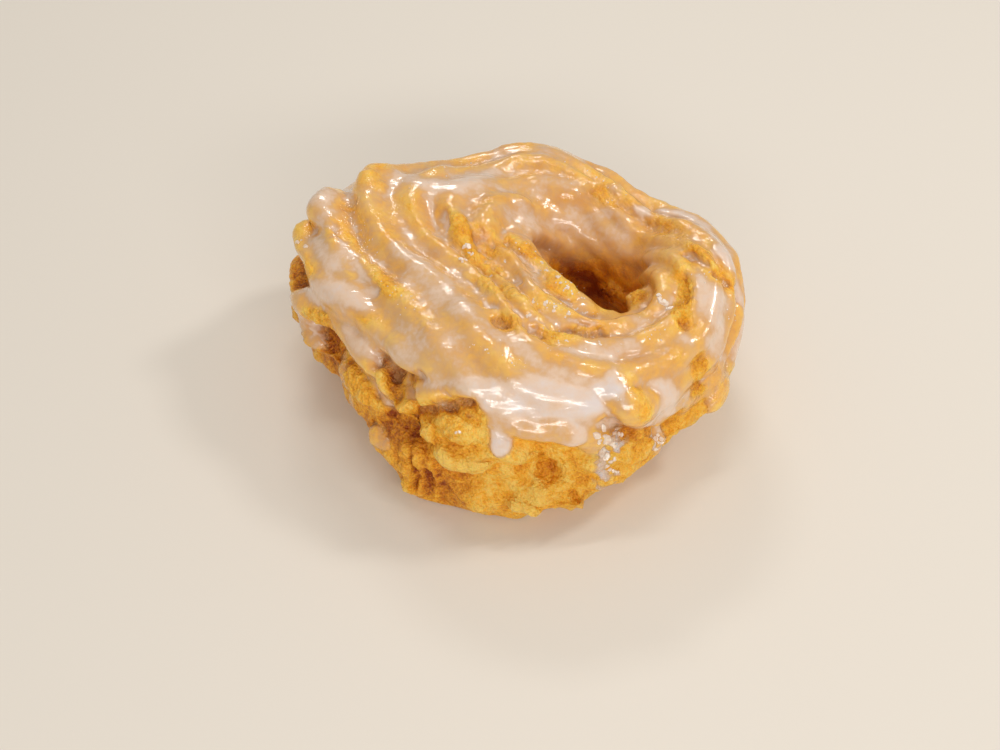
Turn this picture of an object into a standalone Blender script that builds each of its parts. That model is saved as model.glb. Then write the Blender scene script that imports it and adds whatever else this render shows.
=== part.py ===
"""French cruller: a ring of choux dough piped through a star nozzle and fried, one solid body."""

import math

import bmesh
import bpy
import numpy as np
from mathutils import Vector, noise

MM = 0.001

# Plan of the ring in millimetres, +X to the right and +Y to the back. The hole sits off centre
# and is stretched along a line at this many degrees from +X.
OUTER_CENTRE = (1.0, 4.5)
HOLE_CENTRE = (19.0, 5.5)
HOLE_LONG = 14.0
HOLE_SHORT = 10.5
HOLE_LINE = 125.0

# The section's sizes in millimetres at even steps round the ring, anticlockwise from the right:
# how far the outer edge is from its centre, the height of the crown, the height of the widest
# line, how far the foot stands inside that line, how much of the round underside is cut off
# flat (negative where it stays clear of the table) and how square the hole's rim is (2 is
# round). The other squarenesses are the same all round.
OUTER_REACH = (52.5, 47.5, 45.0, 47.5, 46.0, 53.0, 52.0, 43.0, 45.5, 46.5, 49.5, 50.5)
CROWN = (41.0, 36.0, 39.0, 40.0, 40.5, 44.0, 41.5, 41.5, 43.0, 39.5, 37.0, 39.5)
WIDEST = (21.0, 20.0, 20.0, 21.0, 21.0, 24.5, 21.5, 17.5, 12.5, 14.0, 14.5, 18.5)
FOOT_INSET = (6.0, 7.0, 8.0, 8.5, 9.5, 9.5, 8.0, 9.5, -7.5, -4.0, 7.5, 10.5)
SUNK = (-3.0, 0.0, 2.5, 2.5, 2.5, 2.5, 2.5, 2.5, 3.0, 3.0, 1.0, -3.0)
RIM_SQUARENESS = (2.2, 2.0, 2.0, 2.1, 2.6, 3.4, 4.5, 5.0, 4.0, 3.0, 2.6, 2.4)
CROWN_SQUARENESS = 2.35
THROAT_SQUARENESS = 2.2
FOOT_SQUARENESS = 3.0
FOOT_TAPER = 1.3

# Ridges left by the star nozzle. Places and shares are parts of the section's length from the
# middle of the base, up the outside and down through the hole. The ridges are crowded together
# over the inner top. At the same even steps they wander inwards by this many spacings, by the
# first row outside the seam and by the second inside it, and not at all in the hole. The third
# row is how deep they are there, as a share of the deepest, and they are shallower in the hole.
RIDGES = 16
LINES_PER_RIDGE = 4
STATIONS = 92
RIDGE_DEPTH = 0.26
DEEPEST_RIDGE = 2.9
RIDGE_UNEVENNESS = 0.75
RIDGE_PATCH = 19.0
RIDGE_SHARPNESS = 1.6
RIDGE_CROWDING = 0.22
RIDGE_CROWD_PLACE = 0.62
OUTER_DRIFT = (1.6, 2.5, 2.4, 1.4, 0.9, 1.0, 1.75, 2.0, 2.1, 1.1, 0.3, -0.3)
INNER_DRIFT = (1.5, 2.2, 2.0, 1.4, 0.9, 0.6, 0.4, 0.3, 0.1, 0.0, 0.0, 0.2)
RIDGE_STRENGTH = (0.65, 0.6, 0.5, 0.45, 0.5, 0.8, 0.95, 0.9, 0.85, 0.8, 0.7, 0.7)
SEAM_PLACE = 0.42
SEAM_SHARE = 0.16
HOLE_PLACE = 0.80
HOLE_SHARE = 0.24
HOLE_RIDGE_SHARE = 0.35
FOOT_RIDGE_SHARE = 0.3
RIDGE_FADE_LOW = 6.0
RIDGE_FADE_HIGH = 25.0

# Crags of the fried crust, as layers of noise: size of the lumps, depth on the ridged top and
# depth on the rough foot. Below the free height they fade to the least share underneath.
CRAGS = ((17.0, 0.8, 1.5), (10.0, 0.7, 4.0), (6.0, 0.7, 2.4), (4.2, 0.5, 1.7))
CRAG_FREE_HEIGHT = 7.0
LEAST_CRAGS = 0.15
NOISE_START = (21.7, 11.9, 0.0)
NOISE_STEP = (11.7, 0.0, 5.3)

# The lumps and hollows that are this cruller's own, each at a point of the crust as x, y and
# height, with its size across and how far it stands out or, if negative, in.
LUMPS = {
    "knob where the strand overlaps": (-11.0, 8.0, 43.5, 9.0, 3.6),
    "hollow left of the knob": (-15.5, 9.0, 42.0, 6.0, -2.6),
    "hollow right of the knob": (-5.0, 4.5, 41.5, 5.0, -1.6),
    "low end of the rim ridge": (4.0, 13.0, 41.0, 9.0, -3.6),
    "hump at the back left": (-32.0, 28.5, 42.5, 9.0, 2.8),
    "notch beside that hump": (-38.0, 27.0, 38.5, 6.0, -3.0),
    "lobe on the left shoulder": (-42.0, 20.0, 38.0, 12.0, 4.0),
    "lobe on the left": (-42.0, 2.0, 39.0, 11.0, 1.5),
    "recess on the left": (-49.5, 6.0, 30.0, 8.0, -3.0),
    "recess lower on the left": (-41.5, -11.0, 25.5, 9.0, -3.2),
    "lobe over that recess": (-38.0, -9.5, 38.0, 9.0, 1.6),
    "lip down the left": (-48.0, -9.0, 28.0, 7.0, 2.2),
    "dimple at the front left": (-25.0, -28.5, 30.0, 7.0, -3.2),
    "torn hollow at the front": (-15.5, -36.5, 30.5, 8.0, -2.4),
    "lobe under the tear": (-12.5, -40.0, 27.5, 9.0, 2.4),
    "lower lobe under the tear": (-10.5, -41.0, 21.0, 8.0, 1.8),
    "folded lobe at the foot": (-29.0, -34.0, 17.0, 8.0, 2.5),
    "bulge along the front": (6.0, -38.5, 33.0, 16.0, 1.6),
    "lobe at the front right": (26.5, -35.5, 29.0, 9.0, 2.0),
    "hump at the back": (8.0, 43.0, 37.0, 14.0, 2.2),
    "lobe at the right": (47.5, -21.0, 19.0, 8.0, 2.8),
    "lump in the hole": (29.5, -3.0, 29.0, 8.0, 4.2),
    "swelling at the back right": (48.5, 20.0, 31.0, 12.0, 2.0),
    "swelling at the right": (53.0, 9.0, 29.0, 13.0, 1.4),
    "groove on the right": (38.0, -9.0, 37.0, 8.0, -2.4),
    "knuckle at the foot": (7.5, -42.5, 12.0, 8.0, 2.0),
    "hollow over the knuckle": (8.5, -41.5, 21.5, 7.0, -2.4),
    "knuckle right of it": (20.0, -40.0, 12.0, 8.0, 1.2),
    "scrap under the front": (2.0, -43.0, 2.5, 5.0, 3.0),
}

CRUST_COLOUR = (0.72, 0.36, 0.075)
CRUST_ROUGHNESS = 0.62


def clear_scene():
    for obj in list(bpy.data.objects):
        bpy.data.objects.remove(obj, do_unlink=True)


def crust_material():
    material = bpy.data.materials.new("fried choux crust")
    material.use_nodes = True
    shader = material.node_tree.nodes["Principled BSDF"]
    shader.inputs["Base Color"].default_value = (*CRUST_COLOUR, 1.0)
    shader.inputs["Roughness"].default_value = CRUST_ROUGHNESS
    shader.inputs["Metallic"].default_value = 0.0
    return material


def round_ring(values, turn):
    """A smooth curve through values given at even steps round the ring."""
    count = len(values)
    place = turn / (2 * math.pi) * count
    step = math.floor(place)
    share = place - step
    before, here, after, beyond = (values[(step + k) % count] for k in (-1, 0, 1, 2))
    slope_here, slope_after = (after - before) / 2.0, (beyond - here) / 2.0
    rise = after - here
    return (
        here
        + slope_here * share
        + (3 * rise - 2 * slope_here - slope_after) * share**2
        + (slope_here + slope_after - 2 * rise) * share**3
    )


def hole_edge(turn):
    """A point of the hole's narrowest outline."""
    line = math.radians(HOLE_LINE)
    along = HOLE_LONG * math.cos(turn - line)
    across = HOLE_SHORT * math.sin(turn - line)
    return np.array(
        [
            HOLE_CENTRE[0] + along * math.cos(line) - across * math.sin(line),
            HOLE_CENTRE[1] + along * math.sin(line) + across * math.cos(line),
        ]
    )


def outer_edge(turn):
    """A point of the ring's widest outline."""
    reach = round_ring(OUTER_REACH, turn)
    return np.array(
        [
            OUTER_CENTRE[0] + reach * math.cos(turn),
            OUTER_CENTRE[1] + reach * math.sin(turn),
        ]
    )


def section(turn, samples=360):
    """The smooth section of the ring at this turn, from the middle of the base round the outside,
    over the top and down through the hole."""
    inner = hole_edge(turn)
    outer = outer_edge(turn)
    half = (outer - inner) / 2.0
    middle = inner + half
    crown = round_ring(CROWN, turn)
    widest = round_ring(WIDEST, turn)
    angle = np.linspace(-0.5 * math.pi, 1.5 * math.pi, samples, endpoint=False)
    cosine, sine = np.cos(angle), np.sin(angle)
    upper = np.where(cosine > 0, CROWN_SQUARENESS, round_ring(RIM_SQUARENESS, turn))
    lower = np.where(cosine > 0, FOOT_SQUARENESS, THROAT_SQUARENESS)
    power = 2.0 / np.where(sine > 0, upper, lower)
    out = np.sign(cosine) * np.abs(cosine) ** power
    rise = np.sign(sine) * np.abs(sine) ** power
    inset = round_ring(FOOT_INSET, turn) / np.linalg.norm(half)
    out = out - np.maximum(out, 0.0) * inset * np.maximum(-rise, 0.0) ** FOOT_TAPER
    reach = np.where(rise > 0, crown - widest, widest + round_ring(SUNK, turn))
    return np.column_stack(
        [middle[0] + half[0] * out, middle[1] + half[1] * out, widest + reach * rise]
    )


def ridge_places(turn):
    """Where the grid lines fall along a section, as shares of its length, and how far each is
    from the crest of its ridge."""
    count = RIDGES * LINES_PER_RIDGE
    steps = np.arange(count) / count
    crowd = RIDGE_CROWDING * np.sin(2 * math.pi * (steps - RIDGE_CROWD_PLACE)) / (2 * math.pi)
    from_hole = np.abs((steps - HOLE_PLACE + 0.5) % 1.0 - 0.5)
    free = np.clip(from_hole / HOLE_SHARE, 0.0, 1.0)
    free = free * free * (3.0 - 2.0 * free)
    inside = np.clip((steps - SEAM_PLACE) / SEAM_SHARE, 0.0, 1.0) * (steps < HOLE_PLACE)
    outer_drift = round_ring(OUTER_DRIFT, turn)
    inner_drift = round_ring(INNER_DRIFT, turn)
    drift = free * (outer_drift + (inner_drift - outer_drift) * inside) / RIDGES
    places = (steps + crowd + drift) % 1.0
    phase = (np.arange(count) % LINES_PER_RIDGE) / LINES_PER_RIDGE
    return places, np.minimum(phase, 1.0 - phase)


def along_loop(loop, places):
    """Points at these shares of a closed loop's length."""
    closed = np.vstack([loop, loop[:1]])
    lengths = np.concatenate([[0.0], np.cumsum(np.linalg.norm(np.diff(closed, axis=0), axis=1))])
    wanted = places * lengths[-1]
    return np.column_stack([np.interp(wanted, lengths, closed[:, axis]) for axis in range(3)])


def smooth_grid():
    """The ring without its relief, as stations by lines, and each line's distance from a crest."""
    turns = np.arange(STATIONS) * 2 * math.pi / STATIONS
    grid, phases = [], []
    for turn in turns:
        places, phase = ridge_places(turn)
        grid.append(along_loop(section(turn), places))
        phases.append(phase)
    return np.array(grid), np.array(phases)


def grid_normals(grid):
    """Outward directions on a grid closed both ways."""
    along_ring = np.roll(grid, -1, axis=0) - np.roll(grid, 1, axis=0)
    along_section = np.roll(grid, -1, axis=1) - np.roll(grid, 1, axis=1)
    normals = np.cross(along_ring, along_section)
    return normals / np.linalg.norm(normals, axis=2, keepdims=True)


def noise_layer(points, size, layer):
    """Noise between about -1 and 1 with lumps of this size."""
    shift = Vector(NOISE_START) + layer * Vector(NOISE_STEP)
    values = [noise.noise(Vector(point) / size + shift) for point in points.reshape(-1, 3)]
    return np.array(values).reshape(points.shape[:2])


def lump_relief(grid):
    """How far the named lumps and hollows move each point."""
    push = np.zeros(grid.shape[:2])
    for across, up, height, size, depth in LUMPS.values():
        away = np.linalg.norm(grid - np.array([across, up, height]), axis=2)
        push += depth * np.exp(-((2.0 * away / size) ** 2))
    return push


def ridge_strength():
    """How deep the ridges are at each station and line of the grid, as a share."""
    turns = np.arange(STATIONS) * 2 * math.pi / STATIONS
    around = np.array([round_ring(RIDGE_STRENGTH, turn) for turn in turns])
    steps = np.arange(RIDGES * LINES_PER_RIDGE) / (RIDGES * LINES_PER_RIDGE)
    in_hole = 1.0 - np.clip(np.abs(steps - HOLE_PLACE) / HOLE_SHARE, 0.0, 1.0)
    return np.outer(around, 1.0 - (1.0 - HOLE_RIDGE_SHARE) * in_hole)


def ridge_relief(grid, phases, topness):
    """Round crests and sharp valleys, deeper where the ridges are wider."""
    half = LINES_PER_RIDGE // 2
    spacing = np.linalg.norm(np.roll(grid, -half, axis=1) - np.roll(grid, half, axis=1), axis=2)
    depth = np.minimum(RIDGE_DEPTH * spacing, DEEPEST_RIDGE) * ridge_strength()
    depth *= 1.0 + RIDGE_UNEVENNESS * noise_layer(grid, RIDGE_PATCH, len(CRAGS))
    crest = 1.0 - 2.0 * (2.0 * phases) ** RIDGE_SHARPNESS
    return depth * (FOOT_RIDGE_SHARE + (1.0 - FOOT_RIDGE_SHARE) * topness) * crest


def relief(grid, phases):
    """How far each point of the grid moves outwards, in millimetres."""
    height = grid[:, :, 2]
    topness = np.clip((height - RIDGE_FADE_LOW) / (RIDGE_FADE_HIGH - RIDGE_FADE_LOW), 0.0, 1.0)
    lifted = np.clip(height / CRAG_FREE_HEIGHT, LEAST_CRAGS, 1.0)
    push = ridge_relief(grid, phases, topness) + lump_relief(grid)
    for layer, (size, on_top, at_foot) in enumerate(CRAGS):
        depth = at_foot + (on_top - at_foot) * topness
        push += depth * lifted * noise_layer(grid, size, layer)
    return push


def formed_grid():
    """The ring with its relief, cut flat where it rests."""
    grid, phases = smooth_grid()
    grid = grid + grid_normals(grid) * relief(grid, phases)[:, :, None]
    grid[:, :, 2] = np.maximum(grid[:, :, 2], 0.0)
    return grid


def centred(grid):
    """The same grid with the middle of its plan at the origin."""
    points = grid.reshape(-1, 3)
    middle = (points.min(axis=0) + points.max(axis=0)) / 2.0
    return grid - np.array([middle[0], middle[1], 0.0])


def build_cruller():
    grid = centred(formed_grid()) * MM
    stations, lines = grid.shape[:2]
    mesh = bmesh.new()
    rows = [[mesh.verts.new(point) for point in row] for row in grid]
    for i in range(stations):
        for j in range(lines):
            after, beside = (i + 1) % stations, (j + 1) % lines
            mesh.faces.new(
                (rows[i][j], rows[after][j], rows[after][beside], rows[i][beside])
            )
    bmesh.ops.recalc_face_normals(mesh, faces=mesh.faces)
    data = bpy.data.meshes.new("cruller")
    mesh.to_mesh(data)
    mesh.free()
    data.materials.append(crust_material())
    data.shade_smooth()
    obj = bpy.data.objects.new("cruller", data)
    bpy.context.scene.collection.objects.link(obj)
    return obj


clear_scene()
build_cruller()
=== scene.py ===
import math

import bpy
import numpy as np
from mathutils import Matrix, Vector, noise
from mathutils.bvhtree import BVHTree


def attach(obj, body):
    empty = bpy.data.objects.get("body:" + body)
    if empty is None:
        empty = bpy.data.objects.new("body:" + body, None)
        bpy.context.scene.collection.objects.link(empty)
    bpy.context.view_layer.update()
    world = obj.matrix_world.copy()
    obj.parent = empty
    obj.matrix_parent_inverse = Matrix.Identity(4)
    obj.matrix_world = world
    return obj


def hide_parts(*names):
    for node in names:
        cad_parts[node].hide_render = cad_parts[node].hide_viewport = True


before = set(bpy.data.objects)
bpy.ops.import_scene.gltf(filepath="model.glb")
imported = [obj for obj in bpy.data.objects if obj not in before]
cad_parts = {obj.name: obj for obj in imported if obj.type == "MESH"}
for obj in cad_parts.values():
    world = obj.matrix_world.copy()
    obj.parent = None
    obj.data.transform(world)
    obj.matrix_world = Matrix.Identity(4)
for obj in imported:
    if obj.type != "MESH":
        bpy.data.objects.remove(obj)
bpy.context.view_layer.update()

MM = 0.001

# The view: a standing eye that looks down at the front of the cruller, as the photo does. The
# camera comes first, because crags and glaze are laid out by where they lie in the photo.
CAMERA_PLACE = (-0.002564, -0.216371, 0.2225)
CAMERA_TILT = math.radians(44.15)
LENS = 45.0
SENSOR = 36.0
NEAREST_SEEN = 0.01

camera = bpy.data.objects.new("camera", bpy.data.cameras.new("camera"))
camera.data.lens = LENS
camera.data.sensor_width = SENSOR
camera.data.clip_start = NEAREST_SEEN
camera.location = CAMERA_PLACE
camera.rotation_euler = (CAMERA_TILT, 0.0, 0.0)
bpy.context.scene.collection.objects.link(camera)
bpy.context.scene.camera = camera


# The dough: choux paste piped through a star nozzle into one ring and deep fried. It keeps the
# nozzle's ridges on top. The foot burst in the oil into crags and torn lobes, and the crust is a
# dry skin of fine blisters, browned where it was thin or touched the oil longest. Its creases,
# hollows, recesses and hole are darkened with painted shade.
SAME_POINT = 0.00001
QUAD_ANGLE = math.radians(60)
SUBDIVISIONS = 2

# Rounds of smoothing: for the foot, for the places where the ridges melted together, and for the
# forms that the creases and the grit are measured from.
FOOT_PASSES = 12
EVEN_PASSES = 90
CREASE_PASSES = 60
GRIT_PASSES = 6
SMOOTHING = 0.5

# Where the craggy foot ends, how high the flat base reaches, and where the hole is, with the
# shares of its reach over which its wall begins: all in millimetres but the shares.
FOOT_HEIGHT = 25.0
FOOT_BLEND = 6.0
FLAT_BASE = 2.4
HOLE_MIDDLE = (18.8, 2.4)
HOLE_REACH = (16.0, 19.0)
HOLE_FADE = (0.9, 1.15)

# How ragged the edges of patches are and how big the rags, in millimetres, and how much of it
# forms and the browning and painted shade get.
RAGGEDNESS = 0.7
RAGGED_SIZE = 1.7
FORM_RAGS = 0.4
BROWN_AND_SHADE_RAGS = 0.6

# The share of each reach that a stroke fills before it fades.
FORM_CORE = 0.15
SMOOTH_CORE = 0.4
BARE_CORE = 0.5
BROWN_AND_SHADE_CORE = 0.1

# A crest stands this far out of the smoothed form, in millimetres, with some chance in it.
CREST_RISE = (0.3, 1.3)
CREST_CHANCE = 0.5
CREST_CHANCE_SIZE = 7.0

# How dry, and so how rough, the crust is in each place.
DRY_EVERYWHERE = 0.24
DRY_FOOT = 0.48
DRY_BARE = 0.8
DRY_CRESTS = 0.15
DRY_HOLE = -0.2

# The crust's relief, coarse to fine: size of a lump and depth in millimetres, where it is, and how
# Blender's clouds are set. Real crumb is half as coarse as the last, too fine for the mesh.
CRUST_RELIEF = {
    "crust swells": (7.0, 0.8, "all over", {"noise_depth": 1}),
    "foot lobes": (10.0, 3.4, "foot", {"noise_depth": 0}),
    "foot folds": (6.0, 0.35, "foot", {"noise_type": "HARD_NOISE", "noise_depth": 0}),
    "crags": (2.4, 0.8, "dry crust", {"noise_depth": 1}),
    "crumb": (1.2, 0.65, "dry crust", {"noise_depth": 1}),
}

# Forms of this crust that are finer than its solid: reach and depth in millimetres, outwards or,
# if negative, inwards, and the way in photo pixels.
CRUST_FORMS = {
    "upper lip of the tear": (2.6, 1.3, ((408, 408), (424, 398), (441, 394), (470, 391))),
    "tear": (2.5, -1.6, ((411, 422), (426, 412), (443, 407), (468, 405))),
    "hollow behind the torn lobe": (3.2, -1.8, ((408, 420), (413, 436))),
    "torn lobe": (5.4, 1.5, ((428, 423), (450, 427), (478, 434))),
    "crease under the torn lobe": (2.8, -1.2, ((424, 443), (452, 448), (488, 446))),
    "second torn lobe": (4.0, 1.6, ((446, 455), (462, 458), (482, 456))),
    "crease under the second lobe": (3.0, -0.6, ((438, 466), (462, 473), (492, 468))),
    "folded lobe": (4.4, 1.2, ((378, 436), (392, 446))),
    "crease over the folded lobe": (2.0, -0.9, ((376, 424), (402, 428), (410, 440))),
    "fold at the foot": (2.0, 1.5, ((404, 446), (412, 466), (410, 486))),
    "second fold": (1.8, 1.4, ((418, 448), (426, 468), (422, 490))),
    "third fold": (1.8, 1.2, ((430, 464), (438, 478), (437, 494))),
    "bright lobe at the foot": (5.4, 2.9, ((536, 498), (566, 499))),
    "lobe right of it": (4.2, 2.0, ((578, 484), (604, 482))),
    "lobe left of it": (5.0, 0.7, ((486, 486), (510, 492))),
    "smooth lobe left of the foot's middle": (6.4, 1.0, ((478, 468), (500, 478))),
    "lump right of the hollow": (4.5, 1.2, ((566, 480), (572, 490))),
    "hollow in the foot": (4.6, -3.0, ((540, 458), (548, 476))),
    "scrap at the foot": (2.6, 3.2, ((517, 505), (529, 506))),
    "crease between the foot lobes": (2.8, -1.4, ((522, 470), (528, 492), (524, 508))),
    "crease under the bulge": (2.6, -1.9, ((604, 424), (628, 437), (654, 434))),
    "hollow under the right": (3.2, -1.2, ((640, 452), (676, 424))),
    "recess on the left": (5.6, -1.8, ((294, 262), (302, 278))),
    "lower recess on the left": (5.2, -2.2, ((320, 330), (332, 352))),
    "bumps below the recess": (3.4, 1.0, ((352, 372), (364, 392))),
    "crease beside the bumps": (2.4, -1.1, ((374, 362), (380, 392), (392, 412))),
    "dimple at the front left": (3.2, -1.8, ((394, 380), (392, 394))),
    "crease under the cream lobe": (2.8, -1.9, ((376, 356), (396, 370), (422, 377))),
    "cream lobe": (5.5, 1.1, ((400, 350), (428, 364))),
    "groove left of the golden ridge": (2.8, -1.5, ((335, 228), (350, 256), (372, 290))),
    "flat of the cream shoulder": (5.0, 0.5, ((322, 250), (342, 270))),
    "left recess of the knob": (2.8, -1.4, ((442, 214), (447, 227))),
    "right recess of the knob": (3.0, -1.4, ((482, 236), (496, 244))),
    "knob": (4.4, 1.0, ((460, 219), (467, 236))),
    "rim ridge": (2.8, 0.9, ((510, 240), (540, 264), (572, 293))),
    "groove under the rim ridge": (1.8, -1.2, ((486, 258), (520, 282), (566, 304))),
    "second ridge": (2.2, 0.7, ((470, 276), (520, 298), (590, 309))),
    "groove under the second ridge": (1.7, -1.0, ((487, 306), (540, 320), (594, 321))),
    "valley before the band": (2.4, -1.3, ((500, 322), (540, 333), (600, 334))),
    "lump in the hole": (2.6, 1.2, ((614, 290), (626, 296))),
    "dark groove on the right": (1.6, -1.3, ((688, 254), (716, 270), (740, 300))),
    "deep groove on the right": (2.8, -1.4, ((684, 278), (686, 322))),
    "lobe at the ridge's end": (5.2, 1.9, ((624, 392), (632, 404), (638, 418))),
    "crease left of that lobe": (2.2, -1.6, ((600, 396), (607, 414), (620, 430))),
    "crease right of that lobe": (1.8, -1.0, ((652, 386), (662, 404), (660, 424))),
    "hump at the back left": (3.6, 1.0, ((368, 176), (376, 186))),
    "slope under the left shoulder": (4.5, 1.6, ((307, 212), (304, 228))),
    "notch beside the hump": (2.6, -0.7, ((344, 190), (352, 200))),
}

# Where the ridges melted into a smooth back: reach in millimetres, how much, and the way in photo
# pixels.
SMOOTH_AREAS = {
    "wide band, upper": (9.5, 0.9, ((392, 226), (420, 250), (442, 274))),
    "wide band": (7.0, 0.85, ((398, 240), (424, 266), (450, 294), (492, 332), (545, 370))),
    "front bulge": (6.5, 0.7, ((486, 400), (530, 404), (600, 402))),
    "cream shoulder": (6.0, 0.7, ((322, 250), (345, 272))),
    "cream lobe": (6.0, 0.7, ((390, 346), (425, 362))),
    "pour at the back left": (6.5, 0.6, ((404, 200), (424, 188), (460, 184), (490, 176))),
    "back wall of the hole": (7.0, 0.8, ((530, 228), (580, 230), (626, 242))),
    "wall low in the hole": (7.0, 0.8, ((566, 256), (600, 264), (632, 262))),
    "back hump": (5.0, 0.6, ((540, 150), (572, 162))),
    "slope behind the hole": (6.5, 0.8, ((536, 198), (566, 196), (592, 202))),
    "pour into the hole": (6.0, 0.8, ((484, 198), (508, 210), (532, 226))),
    "lobe on the right": (5.5, 0.6, ((706, 286), (718, 306), (718, 330))),
    "front left": (11.0, 0.85, ((396, 326), (428, 360), (462, 384))),
    "saddle in front": (8.0, 0.8, ((440, 388), (470, 392), (500, 396))),
    "foot left of the torn lobe": (7.0, 0.7, ((366, 424), (390, 430), (410, 448))),
    "folds at the foot": (7.0, 0.6, ((402, 452), (420, 480))),
    "foot in front": (8.0, 0.85, ((470, 476), (500, 488), (540, 486), (590, 486))),
    "torn lobes": (5.0, 0.5, ((436, 430), (470, 436), (464, 456))),
}

# Where the photo shows bare dry crust, and where it is darker or, if negative, paler than
# elsewhere: fried browner, and painted shade in creases, hollows, recesses, grooves and the hole.
# Reach in millimetres, how much, and the way in photo pixels.
BARE_CRUST = {
    "recess on the left": (5.0, 1.0, ((292, 262), (302, 280))),
    "lower recess on the left": (6.0, 1.0, ((318, 326), (330, 350), (340, 362))),
    "bumps below the recess": (3.2, 0.9, ((352, 372), (366, 396))),
    "golden ridge": (3.4, 0.35, ((352, 205), (362, 250), (395, 288), (425, 322))),
    "golden hump": (4.2, 0.03, ((350, 225), (376, 215), (408, 210))),
    "tear": (4.0, 1.0, ((411, 418), (443, 408), (468, 407))),
    "crease under the cream lobe": (2.2, 0.7, ((376, 356), (396, 370), (422, 377))),
    "torn lobes": (5.6, 1.0, ((420, 430), (450, 432), (478, 437))),
    "bare patch on the right": (3.0, 1.0, ((699, 362), (698, 388))),
    "lump in the hole": (3.4, 0.9, ((608, 292), (636, 297))),
    "core of the ridge end": (2.6, 0.4, ((630, 392), (641, 414))),
    "dimple at the front left": (3.4, 1.0, ((393, 380), (392, 396))),
    "knob": (4.8, 0.45, ((460, 220), (470, 240), (490, 262))),
    "rim ridge": (3.8, 0.4, ((512, 244), (535, 265), (566, 290))),
    "second ridge": (2.6, 0.3, ((480, 284), (530, 300), (560, 306))),
    "valley before the band": (2.8, 0.6, ((500, 324), (545, 336), (600, 336))),
    "deep groove on the right": (3.2, 1.0, ((684, 284), (684, 318))),
    "golden lumps on the right": (3.6, 0.05, ((642, 356), (676, 350))),
    "ridge at the back right": (3.4, 0.32, ((600, 190), (650, 222), (700, 246), (732, 284))),
    "ridge at the back": (3.2, 0.1, ((560, 170), (600, 176), (642, 196))),
}
# Painted shade: the strokes in creases, hollows, recesses, grooves, the hole, along its rim and at
# the folds on the left of the foot darken the crust where shade falls. The others are browning, or
# paler crust where negative.
BROWNED_AND_SHADED = {
    "tear": (2.0, 0.20, ((411, 420), (426, 411), (443, 406), (470, 404))),
    "hollow behind the torn lobe": (3.0, 0.10, ((407, 420), (414, 440))),
    "crease under the second lobe": (2.0, 0.12, ((438, 466), (462, 473), (492, 468))),
    "recess on the left": (6.0, 0.24, ((292, 262), (302, 280))),
    "lower recess on the left": (5.6, 0.24, ((318, 328), (332, 354))),
    "folds at the foot": (11.0, 0.35, ((402, 446), (416, 470), (440, 488))),
    "crust under the left recess": (9.0, 0.16, ((304, 352), (334, 388), (366, 420))),
    "left recess of the knob": (2.6, 0.22, ((442, 214), (447, 227))),
    "right recess of the knob": (2.8, 0.22, ((482, 236), (496, 244))),
    "deep in the hole": (7.5, 0.32, ((540, 252), (566, 272), (592, 292))),
    "wall of the hole": (6.5, 0.36, ((604, 268), (634, 268))),
    "lump in the hole": (3.0, 0.08, ((608, 292), (636, 297))),
    "crease under the cream lobe": (2.4, 0.28, ((376, 356), (396, 370), (422, 377))),
    "saddle under the cream lobe": (6.0, 0.10, ((396, 388), (430, 392))),
    "shade along the rim": (4.0, 0.30, ((536, 240), (556, 254), (578, 270), (600, 290))),
    "dimple": (3.0, 0.18, ((394, 378), (392, 396))),
    "bumps below the recess": (4.4, 0.29, ((352, 372), (366, 396))),
    "crease beside the bumps": (1.8, 0.18, ((374, 362), (380, 392), (392, 412))),
    "dark groove on the right": (1.4, 0.22, ((688, 254), (716, 270), (740, 300))),
    "deep groove on the right": (3.0, 0.10, ((684, 278), (686, 322))),
    "crease under the bulge": (2.2, 0.18, ((604, 424), (628, 437), (654, 434))),
    "hollow in the foot": (3.8, 0.12, ((540, 458), (548, 476))),
    "bare patch on the right": (3.2, 0.22, ((699, 362), (698, 388))),
    "torn lobe": (4.2, -0.06, ((430, 426), (476, 434))),
    "second torn lobe": (3.0, -0.02, ((446, 455), (482, 456))),
    "bright lobe at the foot": (5.4, -0.10, ((536, 498), (566, 499))),
    "bright crust in front": (9.0, -0.06, ((500, 472), (560, 474), (600, 470))),
    "golden hump": (5.0, -0.07, ((350, 225), (376, 215), (408, 210))),
    "knob": (4.4, 0.16, ((460, 220), (470, 240))),
    "core of the ridge end": (2.8, 0.12, ((628, 390), (641, 414))),
    "slope behind the hole": (5.0, 0.16, ((548, 202), (584, 204))),
    "ridge at the back right": (3.4, 0.08, ((600, 190), (650, 222), (700, 246), (732, 284))),
    "folds": (5.0, 0.04, ((402, 446), (416, 470))),
    "cream lobe": (6.5, -0.24, ((398, 350), (430, 364))),
    "cream shoulder": (6.0, -0.16, ((322, 250), (345, 272))),
}

# Low in the hole the crust is darker, as painted shade. It is browner a little on top, and on
# the foot from the middle to the back.
SHADE_IN_HOLE = 0.22
BROWN_ON_TOP = 0.04
BROWN_BEHIND = 0.10
HOLE_DEPTHS = (12.0, 24.0)
FOOT_BEHIND = (-25.0, 10.0)

CRUST_PALE = "#FFD164"
CRUST_GOLD = "#FDB731"
CRUST_AMBER = "#DC8A14"
CRUST_BROWN = "#984204"


def only(obj):
    """Leaves this object alone selected and active."""
    bpy.ops.object.select_all(action="DESELECT")
    obj.select_set(True)
    bpy.context.view_layer.objects.active = obj


def add_object(name, mesh):
    obj = bpy.data.objects.new(name, mesh)
    bpy.context.scene.collection.objects.link(obj)
    only(obj)
    return obj


def apply_modifier(obj, kind, **settings):
    modifier = obj.modifiers.new(kind.lower(), kind)
    for name, value in settings.items():
        setattr(modifier, name, value)
    only(obj)
    bpy.ops.object.modifier_apply(modifier=modifier.name)


def places(obj):
    """The object's points in millimetres."""
    values = np.empty(len(obj.data.vertices) * 3)
    obj.data.vertices.foreach_get("co", values)
    return values.reshape(-1, 3) / MM


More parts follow.
